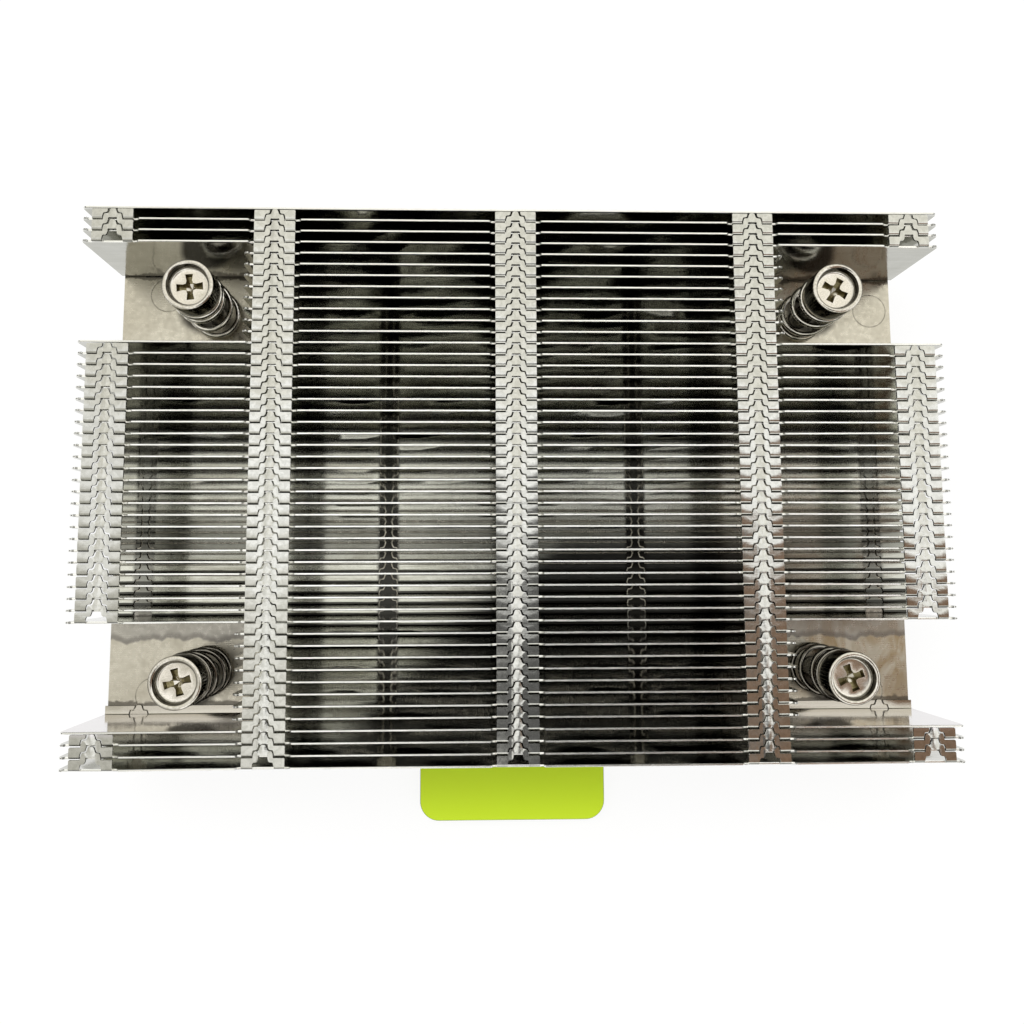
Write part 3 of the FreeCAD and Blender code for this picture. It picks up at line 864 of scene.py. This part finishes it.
def coil(start_degrees, bottom, top):
    """Points and faces of round wire along a helix whose first and last turn are nearly closed."""
    steps, sides = 48 * SPRING_TURNS, 12
    turn = np.linspace(0.0, SPRING_TURNS, steps + 1)
    end_climb = 2.2 * WIRE_RADIUS
    middle = (top - bottom - 2 * end_climb) / (SPRING_TURNS - 2)
    knots = [0.0, 0.7, 1.3, SPRING_TURNS - 1.3, SPRING_TURNS - 0.7, SPRING_TURNS]
    climb = [end_climb, end_climb, middle, middle, end_climb, end_climb]
    rate = np.interp(turn, knots, climb)
    height = np.concatenate([[0.0], np.cumsum((rate[1:] + rate[:-1]) / 2 * np.diff(turn))])
    height = bottom + height / height[-1] * (top - bottom)
    angle = math.radians(start_degrees) + math.tau * turn
    radial = np.stack([np.cos(angle), np.sin(angle), np.zeros_like(angle)], 1)
    along = np.gradient(np.concatenate([radial[:, :2] * COIL_RADIUS, height[:, None]], 1), axis=0)
    along /= np.linalg.norm(along, axis=1)[:, None]
    up = np.cross(radial, along)
    centre = radial * COIL_RADIUS + height[:, None] * (0, 0, 1)
    ring = np.arange(sides) * math.tau / sides
    round_wire = (np.cos(ring)[None, :, None] * radial[:, None]
                  + np.sin(ring)[None, :, None] * up[:, None])
    points = centre[:, None] + WIRE_RADIUS * round_wire
    faces = [face[[0, 3, 2, 1]] for face in bands(0, steps + 1, sides)]
    faces += [np.arange(sides), (steps * sides + np.arange(sides))[::-1]]
    return points.reshape(-1, 3), faces


SPRING_STEEL = spring_material()
for corner in CORNERS:
    low, high = box_mm(f"screw_{corner}")
    place = (low + high) / 2
    points, faces = coil(COIL_STARTS[corner], PLATE_TOP + END_GAP + WIRE_RADIUS,
                         head_low - END_GAP - WIRE_RADIUS)
    spring = make_piece(f"coil_spring_{corner}", points + (place[0], place[1], 0.0), faces,
                        (SPRING_STEEL,), sharp=60.0)
    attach(spring, f"{corner}_spring")
    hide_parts(f"spring_{corner}")
    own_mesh(spring)

# ---------------------------------------------------------------------------------------------
# Pull tab: lime green film, cut with rounded outer corners and stuck under the plate's edge.
# ---------------------------------------------------------------------------------------------


def film_material():
    """Lime film with a faint grain, a little deeper in colour near the plate."""
    material, tree, shader = new_material("lime_film", Roughness=0.38, IOR=1.4)
    place = object_space(tree)
    parts = add(tree, "ShaderNodeSeparateXYZ", {"Vector": place}).outputs
    colour = blend_colours(tree, span(tree, parts["Y"], -51.5, -40.0), "C0DC1C", "BEDC00")
    colour = blend_colours(tree, span(tree, noise(tree, place, 0.5, 4.0), 0.35, 0.7, 0.0, 0.3),
                           colour, "BFD910")
    tree.links.new(colour, shader.inputs["Base Color"])
    grain = noise(tree, place, 6.0, 3.0)
    tree.links.new(span(tree, grain, 0.3, 0.7, 0.32, 0.45), shader.inputs["Roughness"])
    set_bump(tree, shader, grain, 0.1, 0.00003)
    return material


def film_edge_material():
    """Cut edge of the film, where the light leaves it darker."""
    material, tree, shader = new_material("lime_film_edge", Roughness=0.5)
    grain = noise(tree, object_space(tree), 1.5, 3.0)
    tree.links.new(blend_colours(tree, grain, "5F7414", "7B921F"), shader.inputs["Base Color"])
    tree.links.new(span(tree, grain, 0.3, 0.7, 0.4, 0.6), shader.inputs["Roughness"])
    return material


def film_outline(low, high, radius):
    """Rectangle in plan with its two near corners rounded, listed anticlockwise."""
    outline = []
    for x, start in ((low[0] + radius, 180.0), (high[0] - radius, 270.0)):
        for step in range(13):
            angle = math.radians(start + 90.0 * step / 12)
            outline.append((x + radius * math.cos(angle),
                            low[1] + radius + radius * math.sin(angle)))
    return np.array(outline + [(high[0], high[1]), (low[0], high[1])])


def slab(outline, bottom, top, bevel):
    """Flat slab with a small bevel round its top and bottom edges: points, faces and slots."""
    count = len(outline)
    run = np.roll(outline, -1, 0) - outline
    normal = np.stack([run[:, 1], -run[:, 0]], 1) / np.linalg.norm(run, axis=1)[:, None]
    normal = normal + np.roll(normal, 1, 0)
    normal /= np.linalg.norm(normal, axis=1)[:, None]
    rings = [(outline - normal * bevel, bottom), (outline, bottom + bevel),
             (outline, top - bevel), (outline - normal * bevel, top)]
    points = np.concatenate([np.column_stack([ring, np.full(count, z)]) for ring, z in rings])
    sides = bands(0, len(rings), count)
    faces = [np.arange(count)[::-1], 3 * count + np.arange(count), *sides]
    return points, faces, [0, 0] + [1] * len(sides)


CORNER_RADIUS = 3.0
FILM_BEVEL = 0.08
low, high = box_mm("pull_tab")
outline = film_outline(low, high, CORNER_RADIUS)
points, faces, slots = slab(outline, low[2], high[2], FILM_BEVEL)
film = make_piece("lime_pull_tab", points, faces, (film_material(), film_edge_material()), slots)
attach(film, "heatsink")
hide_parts("pull_tab")

# ---------------------------------------------------------------------------------------------
# Stage: pale floor, soft light from all round with the room's ceiling in it, and the camera.
# ---------------------------------------------------------------------------------------------
FLOOR_HALF = 3
# Most of the floor shows plain white; the rest is its own colour, which keeps the shadow
FLOOR_WHITE = 0.88
floor_mesh = bpy.data.meshes.new("floor")
below = -0.02 * MM
floor_mesh.from_pydata([(x * FLOOR_HALF, y * FLOOR_HALF, below)
                        for x, y in ((-1, -1), (1, -1), (1, 1), (-1, 1))], [], [(0, 1, 2, 3)])
floor = bpy.data.objects.new("floor", floor_mesh)
bpy.context.scene.collection.objects.link(floor)
pale, tree, shader = new_material("pale_floor", Roughness=0.9)
shader.inputs["Base Color"].default_value = srgb("F4F3F1")
path = add(tree, "ShaderNodeLightPath")
glow = add(tree, "ShaderNodeEmission", {"Color": (1.0, 1.0, 1.0, 1.0), "Strength": 1.0})
shows_white = math_node(tree, "MAXIMUM", path.outputs["Is Camera Ray"],
                        path.outputs["Is Glossy Ray"], path.outputs["Is Transmission Ray"])
choice = add(tree, "ShaderNodeMixShader", {0: product(tree, shows_white, FLOOR_WHITE),
                                           1: shader.outputs["BSDF"],
                                           2: glow.outputs["Emission"]})
tree.links.new(choice.outputs["Shader"],
               next(n for n in tree.nodes if n.type == "OUTPUT_MATERIAL").inputs["Surface"])
floor_mesh.materials.append(pale)


def room_light():
    """World light: an even pale room, with a bright ceiling band, and the darker things that
    stand over the table, which only reflections show. Slopes are run over rise from straight up.
    """
    world = bpy.data.worlds.new("studio")
    world.use_nodes = True
    bpy.context.scene.world = world
    tree = world.node_tree
    background = next(n for n in tree.nodes if n.type == "BACKGROUND")
    parts = add(tree, "ShaderNodeSeparateXYZ", {
        "Vector": add(tree, "ShaderNodeTexCoord").outputs["Generated"]}).outputs
    rise = math_node(tree, "MAXIMUM", parts["Z"], 0.05)
    u = math_node(tree, "DIVIDE", parts["X"], rise)
    v = math_node(tree, "DIVIDE", parts["Y"], rise)

    def band(value, low, high, soft):
        """Mask that is 1 between two values, with soft ends."""
        return product(tree, span(tree, value, low - soft, low + soft, smooth=True),
                       span(tree, value, high - soft, high + soft, 1.0, 0.0, smooth=True))

    colour = blend_colours(tree, span(tree, v, 0.12, 0.32), "F6F5F2", "EAE8E0")
    lamp = product(tree, band(v, -0.03, 0.16, 0.03), band(u, -0.7, 0.7, 0.1))
    colour = blend_colours(tree, lamp, colour, "FFFFFF")
    dark = product(tree, band(u, -0.02, 0.3, 0.03), span(tree, v, -0.05, 0.05, 0.93, 0.0),
                   span(tree, v, -0.7, -0.6))
    colour = blend_colours(tree, dark, colour, "303032")
    rim = total(tree, v, product(tree, math_node(tree, "SUBTRACT", u, 0.31), 0.5))
    brown = product(tree, band(u, 0.29, 0.8, 0.03), band(rim, -0.6, 0.04, 0.03))
    colour = blend_colours(tree, brown, colour, "7B6453")
    left = product(tree, span(tree, u, -0.1, -0.3), span(tree, v, 0.0, -0.12, 0.0, 0.4))
    shade = total(tree, left, span(tree, u, -0.3, -0.4, 0.0, 0.25))
    colour = blend_colours(tree, shade, colour, "8F8C80")
    level = total(tree, math_node(tree, "ABSOLUTE", u), math_node(tree, "ABSOLUTE", v))
    colour = blend_colours(tree, span(tree, level, 1.6, 3.2), colour, "5E5E5C")
    path = add(tree, "ShaderNodeLightPath")
    even = blend_colours(tree, path.outputs["Is Diffuse Ray"], colour, "DFDEDB")
    even = blend_colours(tree, path.outputs["Is Camera Ray"], even, "FFFFFF")
    tree.links.new(even, background.inputs["Color"])
    background.inputs["Strength"].default_value = 1.38


room_light()

key_light = bpy.data.lights.new("key_softbox", "AREA")
key_light.shape = "RECTANGLE"
key_light.size, key_light.size_y, key_light.energy = 0.8, 0.5, 6.0
key = bpy.data.objects.new("key_softbox", key_light)
key.visible_glossy = False
key.location = (-0.25, 0.45, 0.9)
key.rotation_euler = (Vector((0, 0, 0)) - key.location).to_track_quat("-Z", "Y").to_euler()
bpy.context.scene.collection.objects.link(key)

camera_data = bpy.data.cameras.new("camera")
camera_data.lens = 31.16
camera_data.sensor_width = 36.0
camera_data.shift_x, camera_data.shift_y = 0.0138, -0.0286
camera_data.clip_start = 0.01
camera = bpy.data.objects.new("camera", camera_data)
camera.location = (-6.18 * MM, -13.02 * MM, (PLATE_TOP + 140.31) * MM)
camera.rotation_euler = (0.1004, -0.0276, -0.0034)
bpy.context.scene.collection.objects.link(camera)
bpy.context.scene.camera = camera
bpy.context.scene.view_settings.view_transform = "Standard"
bpy.context.scene.cycles.glossy_bounces = 6
